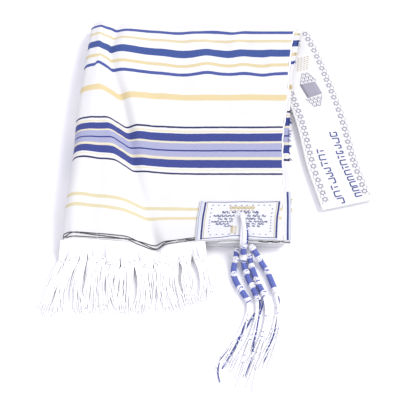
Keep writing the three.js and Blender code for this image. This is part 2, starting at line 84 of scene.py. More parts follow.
TASSELS = [
    {
        "cord": [
            (37, -139, 13), (35.5, -145, 12), (34, -152, 9), (32, -160, 5), (31.5, -167, 4), (33, -176, 3.9),
            (37.5, -187, 3.9), (45, -200, 3.9), (49, -207, 3.9),
        ],
        "wound": [(0.5, 10.5), (18.2, 29.7), (37.3, 52.2), (58.9, 71.7)],
        "loose": [(51, -211), (47, -226), (39, -250), (29, -268), (19, -284), (11, -300)],
        "blue_string": 7,
    },
    {
        "cord": [
            (42.4, -95, 24.3), (43.5, -106, 25.3), (44.8, -118, 27.5), (45, -129, 29.8), (44.6, -137, 29.9),
            (43.8, -144, 25), (43.2, -148.5, 17), (43.4, -153, 9.5), (44.6, -159, 4.6), (46.5, -167, 3.9),
            (50.6, -180, 3.9), (56, -193, 3.9), (60, -205, 3.9),
        ],
        "wound": [(52.9, 60.7), (71.8, 83.1), (89.3, 102.3), (110.1, 121.8)],
        "spread": 50,
        "loose": [(61, -209), (59, -224), (53, -248), (44, -272), (34, -294), (25, -314)],
        "blue_string": 0,
        "blue_route": [
            (60, -204), (62.5, -212), (55, -225), (40.5, -251), (32, -260), (25, -271), (13.5, -289),
            (12, -301), (14.4, -313),
        ],
    },
    {
        "cord": [
            (48.5, -139, 15), (50, -144, 12), (51.5, -151, 8), (53.5, -160, 4), (56.5, -170, 3.9),
            (60.5, -182, 3.9), (65, -193, 3.9), (68.5, -201, 3.9),
        ],
        "wound": [(11.4, 18.7), (26.9, 39.8), (50.4, 61.0)],
        "loose": [(70, -205.5), (70.5, -222), (67, -246), (58.5, -272), (48.5, -298), (39.5, -326)],
        "blue_string": 3,
        "blue_route": [(69, -200), (65, -214), (60.5, -230), (57, -249), (53, -270), (52, -278), (43, -305)],
    },
    {
        "cord": [
            (51, -139.5, 21.5), (56, -144, 17.5), (61, -149.5, 11.5), (67, -157, 4.8), (72, -166, 3.9),
            (76, -177, 3.9), (79.5, -188, 3.9), (81.5, -197, 3.9),
        ],
        "wound": [(6.3, 16.4), (22.1, 34.8), (44.8, 63.2)],
        "loose": [(82.5, -201), (83.5, -220), (80.5, -244), (72, -270), (63, -290), (57, -304)],
        "blue_string": 6,
        "blue_route": [
            (82, -196), (85.5, -202), (83.5, -219), (81.4, -238), (77, -253), (71, -268), (66, -288),
        ],
    },
]


def linear(hex_colour):
    channels = [int(hex_colour[i:i + 2], 16) / 255 for i in (1, 3, 5)]
    return [c / 12.92 if c <= 0.04045 else ((c + 0.055) / 1.055) ** 2.4 for c in channels] + [1.0]


def add(tree, kind, inputs=(), **settings):
    made = tree.nodes.new("ShaderNode" + kind)
    for name, value in settings.items():
        setattr(made, name, value)
    for key, value in dict(inputs).items():
        if isinstance(value, bpy.types.NodeSocket):
            tree.links.new(value, made.inputs[key])
        else:
            made.inputs[key].default_value = value
    return made


def new_finish(name, roughness, sheen):
    """A material with its shader: a spun fibre is dull, with a faint bright nap at its edges."""
    material = bpy.data.materials.new(name)
    material.use_nodes = True
    tree = material.node_tree
    shader = tree.nodes["Principled BSDF"]
    shader.inputs["Roughness"].default_value = roughness
    shader.inputs["Specular IOR Level"].default_value = 0.25
    shader.inputs["Sheen Weight"].default_value = sheen
    shader.inputs["Sheen Roughness"].default_value = 0.5
    return material, tree, shader


def cloth_millimetres(tree):
    """Distances across and along the cloth, in millimetres."""
    at = add(tree, "UVMap", uv_map="cloth")
    scaled = add(tree, "VectorMath", {0: at.outputs["UV"], 1: (1000, 1000, 1000)}, operation="MULTIPLY")
    return add(tree, "SeparateXYZ", {0: scaled.outputs[0]}), scaled.outputs[0]


def maths(tree, operation, *values):
    """The result of one operation on sockets and numbers."""
    return add(tree, "Math", dict(enumerate(values)), operation=operation).outputs[0]


def noise(tree, place, scale, detail):
    return add(tree, "TexNoise", {"Vector": place, "Scale": scale, "Detail": detail}).outputs["Fac"]


def mix(tree, share, first, second):
    return add(tree, "Mix", {0: share, 6: first, 7: second}, data_type="RGBA").outputs[2]


def wave_of(tree, value, pitch):
    """A sine of a distance in millimetres, from 0 to 1."""
    turned = maths(tree, "MULTIPLY_ADD", value, 2 * math.pi / pitch, 0.0)
    return maths(tree, "MULTIPLY_ADD", maths(tree, "SINE", turned), 0.5, 0.5)


def dress(tree, shader, colour, height, strength, depth):
    """Joins a colour and a relief, with its depth in metres, to a shader."""
    raised = add(tree, "Bump", {"Height": height, "Strength": strength, "Distance": depth})
    tree.links.new(colour, shader.inputs["Base Color"])
    tree.links.new(raised.outputs[0], shader.inputs["Normal"])


def spun_yarn(name, light, dark, twist, second=None, share=0.5):
    """Twisted acrylic yarn: its slanting plies are painted lighter on their crowns and darker in the grooves,
    as painted shade, with a fleck of a second colour if one is plied in.
    The twist is drawn coarser than the real 0.4 mm so that it shows."""
    material, tree, shader = new_finish(name, roughness=0.85, sheen=0.15)
    parts, place = cloth_millimetres(tree)
    slant = maths(tree, "MULTIPLY_ADD", parts.outputs[0], twist, parts.outputs[1])
    ply = wave_of(tree, slant, twist * 2)
    # Painted shade: the colour runs from the light tone on each ply's crown to the dark tone in the groove
    # between plies
    painted_ply_shade = maths(tree, "MULTIPLY", ply, noise(tree, place, 0.6, 3.0))
    colour = mix(tree, painted_ply_shade, linear(dark), linear(light))
    if second:
        where = maths(tree, "GREATER_THAN", noise(tree, place, 0.28, 1.0), share)
        colour = mix(tree, where, colour, linear(second))
    dress(tree, shader, colour, ply, 0.5, 0.0003)
    return material


def piece(name, points, faces, across_along, material):
    """A mesh piece from points in millimetres, with its cloth coordinates, on the shawl's one body."""
    mesh = bpy.data.meshes.new(name)
    mesh.from_pydata(((np.asarray(points) + TABLE_SHIFT) * MM).tolist(), [], faces)
    layer = mesh.uv_layers.new(name="cloth")
    corner = np.zeros(len(mesh.loops), dtype=np.int32)
    mesh.loops.foreach_get("vertex_index", corner)
    layer.data.foreach_set("uv", (np.asarray(across_along, dtype=np.float32) * MM)[corner].ravel())
    mesh.shade_smooth()
    mesh.materials.append(material)
    made = bpy.data.objects.new(name, mesh)
    bpy.context.collection.objects.link(made)
    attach(made, "root")
    return made


def unit(vectors):
    return vectors / np.maximum(np.linalg.norm(vectors, axis=-1, keepdims=True), 1e-9)


def yarn(name, runs, radius, material, sides=6, flat=1.0, taper=0.0):
    """Threads of one radius along runs of points, closed at both ends and joined in one mesh."""
    points, faces, places = [], [], []
    angles = np.arange(sides) * 2 * math.pi / sides
    for run in runs:
        run = np.asarray(run, dtype=float)
        tangents = unit(np.gradient(run, axis=0))
        side = np.cross(UP, tangents[0])
        if np.linalg.norm(side) < 0.2:
            side = np.array([1.0, 0.0, 0.0])
        distance = np.concatenate([[0], np.cumsum(np.linalg.norm(np.diff(run, axis=0), axis=1))])
        first = len(points)
        for k, (centre, tangent) in enumerate(zip(run, tangents)):
            side = unit(side - tangent * np.dot(side, tangent))
            if flat < 1:
                side = unit(np.cross(UP, tangent))
            lift = np.cross(tangent, side)
            size = radius * (1 - taper * k / (len(run) - 1))
            for angle in angles:
                points.append(centre + size * (math.cos(angle) * side + flat * math.sin(angle) * lift))
                places.append((angle * radius, distance[k]))
        for k in range(len(run) - 1):
            start = first + k * sides
            for i in range(sides):
                j = (i + 1) % sides
                faces.append((start + i, start + j, start + sides + j, start + sides + i))
        faces.append(tuple(first + i for i in reversed(range(sides))))
        faces.append(tuple(len(points) - sides + i for i in range(sides)))
    return piece(name, points, faces, places, material)


def curve_through(xs, ys):
    """Smooth curve through a column of numbers, with no overshoot between two of them."""
    xs, ys = np.asarray(xs, dtype=float), np.asarray(ys, dtype=float)
    step = np.diff(xs)
    slope = np.diff(ys) / step
    tangent = np.concatenate([[slope[0]], slope[:-1], [slope[-1]]])
    rising = slope[:-1] * slope[1:] > 0
    total = np.where(rising, slope[:-1] + slope[1:], 1)
    tangent[1:-1] = np.where(rising, 2 * slope[:-1] * slope[1:] / total, 0)

    def at(x):
        i = np.clip(np.searchsorted(xs, x, side="right") - 1, 0, len(xs) - 2)
        h = step[i]
        t = np.clip((x - xs[i]) / h, 0, 1)
        return (
            (2 * t**3 - 3 * t**2 + 1) * ys[i]
            + (t**3 - 2 * t**2 + t) * h * tangent[i]
            + (3 * t**2 - 2 * t**3) * ys[i + 1]
            + (t**3 - t**2) * h * tangent[i + 1]
        )

    return at


def columns(table, x, y):
    """Smooth curve through two columns of a table."""
    return curve_through([row[x] for row in table], [row[y] for row in table])


def route(points):
    """A line through points, as a function of the distance along it, and its length."""
    points = np.asarray(points, dtype=float)
    chords = np.concatenate([[0], np.cumsum(np.linalg.norm(np.diff(points, axis=0), axis=1))])
    axes = [curve_through(chords, column) for column in points.T]
    return lambda s: np.stack([axis(np.asarray(s, dtype=float)) for axis in axes], axis=-1), chords[-1]


def frames_along(line, stations):
    """Points on a line with two directions square to it."""
    centres = line(stations)
    tangents = unit(np.gradient(centres, axis=0))
    side = np.array([1.0, 0.0, 0.0])
    sides = []
    for tangent in tangents:
        side = unit(side - tangent * np.dot(side, tangent))
        sides.append(side)
    sides = np.array(sides)
    return centres, sides, np.cross(tangents, sides)


def around(line, start, end, turns, radius, phase):
    """A thread wound round a line from one distance to another."""
    stations = np.linspace(start, end, max(8, int(abs(turns) * STEPS_PER_TURN)))
    centres, sides, lifts = frames_along(line, stations)
    angle = phase + 2 * math.pi * turns * (stations - start) / (end - start)
    return centres + radius * (np.cos(angle)[:, None] * sides + np.sin(angle)[:, None] * lifts)


def knot_turns(line, middle, radius, tilt, phase):
    """One leaning turn of thread, as a knot on a cord has."""
    centre, side, lift = (axis[1] for axis in frames_along(line, np.array([middle - 1, middle, middle + 1])))
    tangent = np.cross(side, lift)
    angle = phase + np.linspace(0, 2 * math.pi * 0.97, STEPS_PER_TURN)[:, None]
    lean = tilt * np.cos(angle - phase)
    turns = centre + radius * (np.cos(angle) * side + np.sin(angle) * lift) + lean * tangent
    turns[:, 2] = np.maximum(turns[:, 2], KNOT_THREAD_RADIUS)  # pressed flat where it lies on the table
    return turns


tassel_white = spun_yarn("acrylic_string_white", "#fefefe", "#e0e0e8", twist=1.6)
flecked_white = spun_yarn(
    "acrylic_string_white_flecked", "#fcfcfd", "#e4e4ec", 1.6, second="#566195", share=0.66
)
tassel_blue = spun_yarn("acrylic_string_blue", "#8e9ad0", "#4b5aaa", twist=1.4)
flecked_blue = spun_yarn(
    "acrylic_string_blue_and_white", "#4553a0", "#27337a", 1.4, second="#e0e3f2", share=0.63
)
chance = random.Random(18)

for k, tassel in enumerate(TASSELS):
    number = k + 1
    line, length = route(tassel["cord"])
    stations = np.linspace(0, length, int(length / 1.6))
    ply_path = CORD_DIAMETER / 2 - CORE_PLY_RADIUS - 0.15
    plies = [
        around(line, 0, length, length / PLY_LAY, ply_path, 2 * math.pi * i / CORE_PLIES)
        for i in range(CORE_PLIES)
    ]
    plies = [ply[np.linspace(0, len(ply) - 1, len(stations)).astype(int)] for ply in plies]
    core = yarn(f"tassel_{number}_cord", plies, CORE_PLY_RADIUS, tassel_white)
    windings = yarn(
        f"tassel_{number}_windings",
        [
            around(line, start, end, (end - start) / WINDING_PITCH, WOUND_RADIUS, chance.uniform(0, 6))
            for start, end in tassel["wound"]
        ],
        WINDING_RADIUS,
        tassel_blue,
    )
    edges = [0] + [edge for stretch in tassel["wound"] for edge in stretch] + [length]
    knots, flecks = [], []
    for start, end in [(edges[1] - 5, edges[1]), *zip(edges[2::2], edges[3::2])]:
        middle = max((start + end) / 2, 3.5)
        for turn in range(4):
            size = 2.9 + chance.uniform(0, 0.6)
            tilt = chance.uniform(-1.8, 1.8)
            knots.append(knot_turns(line, middle + (turn - 1.5) * 1.3, size, tilt, chance.uniform(0, 6)))
        for _ in range(2):
            place = middle + chance.uniform(-1.6, 1.6)
            flecks.append(knot_turns(line, place, 3.5, 2.4, chance.uniform(0, 6)))
    knotted = yarn(f"tassel_{number}_knots", knots, KNOT_THREAD_RADIUS, tassel_white)
    crossings = yarn(f"tassel_{number}_crossings", flecks, 0.6, tassel_blue)
    extras = [windings, knotted, crossings]
    if "spread" in tassel:
        runs = []
        for n in range(len(SPREAD_SHARES)):
            reach = np.linspace(0, tassel["spread"], 20)
            share = reach[:, None] / tassel["spread"]
            aside = np.array([SPREAD_SHARES[n] * 4.6, 0, 0]) * np.sin(share * math.pi * 0.62)
            low = np.array([0, 0, (1.2 if n == 0 else -1.6 * abs(SPREAD_SHARES[n]))]) * share
            runs.append(line(reach) + aside + low)
        extras.append(yarn("tassel_2_spread_strings", runs[1:], 1.0, tassel_white))
        extras.append(yarn("tassel_2_spread_blue", runs[:1], 1.0, flecked_blue))
    for part in extras:
        part.parent = core
    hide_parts(f"tassel_{number}_wound")
    (line(0) + TABLE_SHIFT) * MM
    ((line(stations) + TABLE_SHIFT) * MM).tolist()

    sheaf, sheaf_length = route([(x, y, 0) for x, y in tassel["loose"]])
    leave = line(length - 1.5)
    ends = list(range(STRINGS_PER_TASSEL))
    chance.shuffle(ends)
    for i in range(STRINGS_PER_TASSEL):
        start_share, end_share = (n / (STRINGS_PER_TASSEL - 1) * 2 - 1 for n in (i, ends[i]))
        start = leave + np.array([-start_share * 1.4, 0, (i % 3 - 1) * 0.8])
        if i == tassel["blue_string"] and "blue_route" in tassel:
            own, reach = route([(x, y, 0) for x, y in tassel["blue_route"]])
            along = np.linspace(0, reach, 30)
            centres, grow = own(along), along / reach
        else:
            along = np.linspace(0, sheaf_length * chance.uniform(0.78, 1.0), 30)
            centres, grow = sheaf(along), along / sheaf_length
            across = unit(np.cross(UP, np.gradient(centres, axis=0)))
            aside = -(start_share * 1.5 * (1 - grow) + end_share * 9.5 * grow**1.1)
            for swing, turns in ((2.6, chance.uniform(1.0, 1.8)), (0.9, chance.uniform(3, 5))):
                aside += chance.uniform(-swing, swing) * np.sin(turns * math.pi * grow + 2 * i) * grow**0.6
            centres = centres + across * aside[:, None]
        centres[:, 2] = STRING_DIAMETER / 2 + (0.7 + 0.7 * ((i * 3 + k) % 4)) * np.clip(1 - grow, 0, 1) ** 0.8
        blend = np.clip(along / 9, 0, 1)[:, None] ** 1.5
        points = centres * blend + (start + (centres - centres[0])) * (1 - blend)
        points[:, 2] = np.maximum(points[:, 2], STRING_DIAMETER / 2)
        blue = i == tassel["blue_string"]
        string = yarn(
            f"tassel_{number}_string_{i + 1}",
            [points],
            STRING_DIAMETER / 2,
            flecked_blue if blue else (flecked_white if i % 3 == 1 else tassel_white),
            taper=0.25,
        )
        if i == 0:
            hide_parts(f"tassel_{number}_strings")

# ---- Floor and light
# A white table in a bright studio: wide soft light from all round, a key from the right that leaves a faint
# shadow at the left, and a weak fill from the hem side.
FLOOR_SIZE = 6.0
floor_mesh = bpy.data.meshes.new("floor")
half = FLOOR_SIZE / 2
floor_corners = [(-half, -half, 0), (half, -half, 0), (half, half, 0), (-half, half, 0)]
floor_mesh.from_pydata(floor_corners, [], [(0, 1, 2, 3)])
floor = bpy.data.objects.new("floor", floor_mesh)
floor.location.z = -0.0003
bpy.context.collection.objects.link(floor)
floor_paper, _, floor_shader = new_finish("white_paper", roughness=1.0, sheen=0.0)
floor_shader.inputs["Base Color"].default_value = linear("#f6f6f9")
floor_shader.inputs["Specular IOR Level"].default_value = 0.0
floor_mesh.materials.append(floor_paper)

scene = bpy.context.scene
scene.view_settings.view_transform = "Standard"
world = bpy.data.worlds.new("studio")
world.use_nodes = True
scene.world = world
world.node_tree.nodes["Background"].inputs["Color"].default_value = linear("#f7f6ff")
world.node_tree.nodes["Background"].inputs["Strength"].default_value = 0.98


def sun(name, energy, spread, turns, colour=(1.0, 1.0, 1.0)):
    light = bpy.data.lights.new(name, "SUN")
    light.energy = energy
    light.angle = math.radians(spread)
    light.color = colour
    made = bpy.data.objects.new(name, light)
    made.rotation_euler = [math.radians(turn) for turn in turns]
    bpy.context.collection.objects.link(made)


sun("key", 1.95, 25, (-4, 37, 0), colour=(1.0, 0.98, 0.95))
sun("fill", 0.4, 60, (48, 0, 0))

# ---- Front layer
# The half of the shawl that shows: a light plain-weave acrylic with coloured weft stripes, folded over at the
# left in a puffed fold with a sharp crease beside it, and rolled over the stack's back edge.
SHAWL_CLOTH = 1.6
TUCK_HEIGHT = 10.2
# The lines across the cloth, from the hem to the back fold: v is the distance from the hem along the cloth
# and y its place; slip and pull are how far the left fold and the crease lie back there; left to right are
# X, the rest heights
LINE_COLUMNS = (
    "v", "y", "slip", "pull", "left", "ridge", "valley", "right", "crest", "edge", "dip", "swell", "flat",
)
LINES = [
    (0, -133, 2, -3, -175, -101, -63, 92, 27, 25, 3.4, 15, 23),
    (20, -116, 4, -2, -174.5, -103, -68, 91.5, 33, 30, 8, 15, 20),
    (45, -98, 8, 1, -174, -106, -73, 91, 38, 34, 14, 16, 18),
    (59, -85, 9, 2, -173, -107, -77, 92, 40, 36, 17, 18, 18.5),
    (116, -33, 11, 4, -169, -117, -91, 94, 43, 42, 20, 23, 20),
    (153, 4, 6, 4, -168, -122, -97, 94, 42, 42, 20, 23, 20),
    (190, 41, -1, 0, -168, -128, -103, 97, 41, 42, 19, 25, 20),
    (238, 89, -2, 0, -165, -137, -113, 103, 43, 44, 21, 27, 20),
    (280, 130, -4, 1, -162, -141, -124, 106, 43, 44, 25, 28, 20),
    (315, 165, 0, -1, -159, -136, -128, 110, 40, 36, 28, 32, 20),
    (351, 201, 0, 0, -157, -135, -122, 115, 34, 31, 23, 26, 20),
    (363, 211, 0, 0, -154, -134, -121, 119, 30, 29, 22.5, 24, 20),
]
LAST_LINE = LINES[-1][0]
# Low waves of the flat stack, then small creases: centre, half sizes along X and Y, height
WAVES = [(-12, 140, 22, 60, 1.6), (22, 150, 16, 45, -1.5), (64, 120, 20, 50, -1.2), (44, -128, 22, 26, 2)]
CREASES = [
    (-55, 175, 16, 30, 1.4),
    (-70, 60, 9, 70, -0.96),
    (-20, 196, 9, 18, 1.6),
    (8, 192, 7, 20, -1.4),
    (36, 188, 8, 22, 1.4),
    (84, 150, 7, 30, 1.3),
    (52, 178, 8, 24, -1.3),
    (-32, 60, 26, 6, 0.8),
    (60, 68, 30, 7, 0.72),
    (20, -52, 34, 8, 0.8),
    (-40, -70, 14, 20, 1.1),
    (-136, -60, 9, 60, -1.8),
    (-148, 60, 7, 50, 1.4),
    (-130, -100, 10, 22, 1.6),
    (-150, 170, 5, 22, -1.3),
]
# Where the weft has slid along the cloth: centre, half sizes along X and Y, distance along Y
SLIDES = [
    (-30, 145, 26, 42, -3.8),
    (0, 150, 13, 34, 2.6),
    (30, 160, 12, 40, -1.8),
    (48, 168, 10, 46, 1.6),
    (74, 136, 15, 26, -2.6),
    (-44, 204, 18, 12, -1.4),
    (10, 204, 12, 12, 1.2),
    (36, 204, 9, 12, -1.6),
    (-60, 95, 30, 18, 1.6),
    (60, 92, 30, 14, 1.4),
    (-30, 30, 40, 22, -1.2),
    (52, 26, 34, 20, -0.8),
]
# The roll over the back: distance from the hem, how far it stands out, and the share of its height it keeps
BACK_FOLD = [(LAST_LINE, 0, 1), (370, 5.5, 0.82), (376, 8, 0.5), (383, 9.2, 0.12)]
NAVY = "#1c2150"
DEEP_BLUE = "#2e3b80"
MID_BLUE = "#39498c"
GOLD = "#cbc19c"
PALE_GOLD = "#cfc8b0"
# Woven stripes by distance from the hem: centre, width, colour, and share of white warp that shows through
STRIPES = [
    (45.0, 4.8, GOLD, 0.1),
    (59.0, 4.8, GOLD, 0.1),
    (116.0, 2.9, NAVY, 0.05),
    (122.4, 1.8, PALE_GOLD, 0.3),
    (131.8, 12.4, DEEP_BLUE, 0.05),
    (140.3, 4.6, PALE_GOLD, 0.2),
    (153.5, 22.0, "#9396b8", 0.22),
    (152.5, 2.4, "#2a3478", 0.05),
    (166.0, 3.2, PALE_GOLD, 0.2),
    (174.0, 12.8, DEEP_BLUE, 0.05),
    (183.5, 3.0, PALE_GOLD, 0.2),
    (190.0, 2.9, NAVY, 0.05),
    (238.0, 9.8, "#cfbe90", 0.08),
    (280.0, 5.4, MID_BLUE, 0.06),
    (295.1, 5.2, "#cbbd93", 0.1),
    (315.0, 12.2, "#314887", 0.04),
    (335.5, 4.4, "#cbbf9b", 0.1),
    (351.0, 5.6, MID_BLUE, 0.06),
]

line_at = {name: columns(LINES, 0, i) for i, name in enumerate(LINE_COLUMNS) if i}
along_at = columns(LINES, 1, 0)
back_out = columns(BACK_FOLD, 0, 1)
back_keep = columns(BACK_FOLD, 0, 2)


def humps(table, x, y):
    return sum(high * np.exp(-(((x - a) / w) ** 2) - ((y - b) / d) ** 2) for a, b, w, d, high in table)


def stack_top(x, y):
    return line_at["flat"](along_at(y)) + humps(WAVES, x, y)


def section_at(v):
    """The section across the front layer at a distance from the hem, from left tuck to right edge."""
    row = {name: float(curve(min(v, LAST_LINE))) for name, curve in line_at.items()}
    side = TUCK_HEIGHT + 0.62 * (row["crest"] - TUCK_HEIGHT)
    ease = row["valley"] + 50
    mid = row["valley"] + 85

    def far(x):
        return row["flat"] + float(humps(WAVES, x, row["y"]))

    def place(x, z, slip, pull):
        return (x, row["y"] + slip * row["slip"] + pull * row["pull"], z)

    points = [
        place(row["left"] + 15, TUCK_HEIGHT - 0.6, 1, 0),
        place(row["left"] + 6, TUCK_HEIGHT, 1, 0),
        place(row["left"] + 1, TUCK_HEIGHT + 0.45 * (side - TUCK_HEIGHT), 1, 0),
        place(row["left"], side, 1, 0),
        place(row["left"] + 4.5, row["crest"] - 3.4, 1, 0),
        place(row["left"] + 14, row["crest"], 1, 0),
        place(row["ridge"] - 2, row["edge"], 0.3, 1),
        place((row["ridge"] + row["valley"]) / 2, (row["edge"] + row["dip"]) / 2, 0.15, 1),
        place(row["valley"], row["dip"], 0, 1),
        place(row["valley"] + 14, row["swell"], 0, 0.5),
        place(ease, 0.3 * row["swell"] + 0.7 * far(ease), 0, 0),
        place(mid, far(mid), 0, 0),
    ]
    for share in (0.2, 0.4, 0.6, 0.8, 1):
        x = mid + (row["right"] - mid) * share
        points.append(place(x, far(x), 0, 0))
    points = np.array(points)
    if v > LAST_LINE:
        points[:, 1] += back_out(v)
        points[:, 2] = TUCK_HEIGHT + (points[:, 2] - TUCK_HEIGHT) * back_keep(v)
    return points


def front_surface(us, vs):
    """The front layer's top: u counts section points from the left tuck, v is millimetres from the hem."""
    rows = []
    for v in vs:
        section = section_at(v)
        number = np.arange(len(section))
        smooth = [curve_through(number, axis)(np.asarray(us, float)) for axis in section.T]
        rows.append(np.stack(smooth, axis=-1))
    grid = np.array(rows)
    fading = np.clip((LAST_LINE - np.asarray(vs)) / 20, 0, 1)[:, None]
    grid[..., 1] += humps(SLIDES, grid[..., 0], grid[..., 1])
    grid[..., 2] += humps(CREASES, grid[..., 0], grid[..., 1]) * fading
    return grid


def grid_normals(grid):
    return unit(np.cross(np.gradient(grid, axis=1), np.gradient(grid, axis=0)))


def faces_over(number, under=False):
    """Faces over a grid of point numbers, turned up or down."""
    a, b, c, d = number[:-1, :-1], number[:-1, 1:], number[1:, 1:], number[1:, :-1]
    return np.stack([a, d, c, b] if under else [a, b, c, d], axis=-1).reshape(-1, 4)


def faces_between(lower, upper):
    return np.stack([lower[:-1], lower[1:], upper[1:], upper[:-1]], axis=-1)


def cloth_shell(name, top, places, thickness, material):
    """A thin cloth below a grid of points, closed round its edges."""
    under = top - grid_normals(top) * thickness
    number = np.arange(top.shape[0] * top.shape[1]).reshape(top.shape[:2])
    low = number + number.size
    faces = np.concatenate(
        [
            faces_over(number),
            faces_over(low, under=True),
            faces_between(low[0], number[0]),
            faces_between(number[-1], low[-1]),
            faces_between(number[:, 0], low[:, 0]),
            faces_between(low[:, -1], number[:, -1]),
        ]
    )
    points = np.concatenate([top.reshape(-1, 3), under.reshape(-1, 3)])
    doubled = np.concatenate([places.reshape(-1, 2)] * 2)
    return piece(name, points, faces.tolist(), doubled, material)


def woven_cloth(name, ground, shade, thread, stripes=(), sheen=0.1, fleck=None):
    """Plain weave in spun yarn, drawn at 1.2 mm or coarser so that it shows, with its weft stripes."""
    material, tree, shader = new_finish(name, roughness=0.9, sheen=sheen)
    parts, place = cloth_millimetres(tree)
    across, along = parts.outputs[0], parts.outputs[1]
    shifted = maths(tree, "MULTIPLY_ADD", noise(tree, place, 0.12, 2.0), 0.9, along)
    even = maths(tree, "SUBTRACT", shifted, 0.45)
    warp = wave_of(tree, across, thread)
    weft = wave_of(tree, along, thread)
    colour = mix(tree, noise(tree, place, 0.035, 4.0), linear(ground), linear(shade))
    if fleck:
        shown = maths(tree, "GREATER_THAN", noise(tree, place, 0.9, 0.0), 0.66)
        colour = mix(tree, maths(tree, "MULTIPLY", shown, 0.5), colour, linear(fleck))
    thin = maths(tree, "MULTIPLY", warp, noise(tree, place, 0.55, 2.0))
    for middle, width, hue, open_share in stripes:
        inside = maths(tree, "COMPARE", even, middle, width / 2)
        cover = maths(tree, "MULTIPLY_ADD", thin, -open_share * 1.6, 1.0)
        colour = mix(tree, maths(tree, "MULTIPLY", inside, cover), colour, linear(hue))
    dress(tree, shader, colour, maths(tree, "MULTIPLY", warp, weft), 0.25, 0.0004)
    return material


shawl_cloth = woven_cloth("acrylic_plain_weave_striped", "#dadada", "#d4d4d6", 1.6, STRIPES)
front_us = np.concatenate([np.linspace(0, 5, 45), np.linspace(5, 9, 65)[1:], np.linspace(9, 16, 80)[1:]])
front_vs = np.concatenate([np.linspace(0, LAST_LINE, 190), np.linspace(LAST_LINE, BACK_FOLD[-1][0], 12)[1:]])
front_grid = front_surface(front_us, front_vs)
middle_row = front_grid[len(front_grid) // 2]
front_across = np.concatenate([[0], np.cumsum(np.linalg.norm(np.diff(middle_row, axis=0), axis=1))])
front_places = np.stack(np.meshgrid(front_across, front_vs), axis=-1)
front = cloth_shell("front_layer_cloth", front_grid, front_places, SHAWL_CLOTH, shawl_cloth)
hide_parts("front_layer")

# ---- Second layer
# The other half of the shawl's width, lying one fold lower: its striped edge stands out past the front
# layer at the right, with loose ends of the weft threads, and its hem shows under the front one.
SECOND_DROP = 3.7
SECOND_LEFT = 12
SECOND_HEM = -135
SECOND_BACK = 203
SECOND_ROLL = 207  # from here back it rolls down inside the back fold
SECOND_EDGE = [(-135, 101.5), (-70, 104), (0, 104), (50, 106), (130, 112), (190, 123), (208, 125)]
# Where this layer's cloth has slid to: its place along Y, and its distance from the hem there
SECOND_SLIP = [
    (-135, 1), (-8.2, 116), (29.8, 152.5), (68.5, 190), (109.4, 238), (151.3, 280), (185.3, 315),
    (203, 337), (214, 347),
]
second_right = columns(SECOND_EDGE, 0, 1)
second_along = columns(SECOND_SLIP, 0, 1)


def second_surface(shares, ys):
    """The second layer's top: shares go from its left side to its selvedge, ys are places along Y."""
    grid = np.zeros((len(ys), len(shares), 3))
    for j, y in enumerate(ys):
        x = SECOND_LEFT + (second_right(y) - SECOND_LEFT) * np.asarray(shares, float)
        grid[j, :, 0] = x
        grid[j, :, 1] = y
        grid[j, :, 2] = stack_top(np.minimum(x, line_at["right"](along_at(y))), y) - SECOND_DROP
    grid[..., 2] -= 7 * np.clip((grid[..., 1] - SECOND_ROLL) / 6.4, 0, 1) ** 2
    beyond = np.clip((grid[..., 0] - line_at["right"](along_at(grid[..., 1]))) / 12, 0, 1)
    grid[..., 2] += beyond * 0.8 * np.sin(grid[..., 1] / 9.0 + 1.3 * np.sin(grid[..., 1] / 31.0))
    return grid


second_shares = np.concatenate([np.linspace(0, 0.7, 12), np.linspace(0.7, 1, 30)[1:]])
second_ys = np.concatenate([np.linspace(SECOND_HEM, SECOND_BACK, 190), [205, 207, 209, 211, 212.5, 213.4]])
second_grid = second_surface(second_shares, second_ys)
second_vs = np.broadcast_to(second_along(second_ys)[:, None], second_grid.shape[:2])
second_places = np.stack([second_grid[..., 0] + 200, second_vs], axis=-1)
second = cloth_shell(
    "second_layer_cloth", second_grid, second_places, SHAWL_CLOTH, shawl_cloth
)
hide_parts("second_layer")

# The front layer's selvedge: a white cord woven in along its right edge
selvedge_vs = np.linspace(1, LAST_LINE - 3, 150)
selvedge_run = front_surface([16], selvedge_vs)[:, 0] + np.array([0.9, 0, -0.7])
selvedge_run[:, 0] += 0.35 * np.sin(selvedge_vs / 3.1) + 0.3 * np.sin(selvedge_vs / 7.7)
selvedge_white = spun_yarn("acrylic_selvedge_cord", "#fcfcfd", "#ececf2", twist=1.6)
selvedge = yarn("front_selvedge_cord", [selvedge_run], 1.05, selvedge_white, sides=6)

second_y_at = columns(SECOND_SLIP, 1, 0)

# Loose weft ends: short tufts in each bold stripe's colour along the second layer's selvedge
loose_ends = {}
for middle, width, hue, _ in STRIPES:
    if hue == PALE_GOLD:
        continue
    ends = loose_ends.setdefault(hue, [])
    for _ in range(2 + int(width * 0.9)):
        v = middle + chance.uniform(-width, width) / 2
        second_y = float(second_y_at(v))
        if second_y > SECOND_BACK - 1:
            continue
        start = second_surface([0.985], [second_y])[0, 0] + np.array([0, 0, 0.3])
        reach = chance.uniform(2.0, 5.5)
        turn = chance.uniform(-0.9, 0.9)
        steps = np.linspace(0, 1, 4)[:, None]
        swing = np.array([reach * math.cos(turn), reach * math.sin(turn), -0.6])
        curl = np.array([0, chance.uniform(-1.2, 1.2), 0.6])
        ends.append(start + steps * swing + np.sin(steps * math.pi) * curl)
for number, (hue, runs) in enumerate((hue, runs) for hue, runs in loose_ends.items() if runs):
    thread = spun_yarn(f"acrylic_weft_end_{number + 1}", hue, hue, twist=1.2)
    tuft = yarn(f"selvedge_ends_{number + 1}", runs, 0.5, thread, sides=4, taper=0.5)

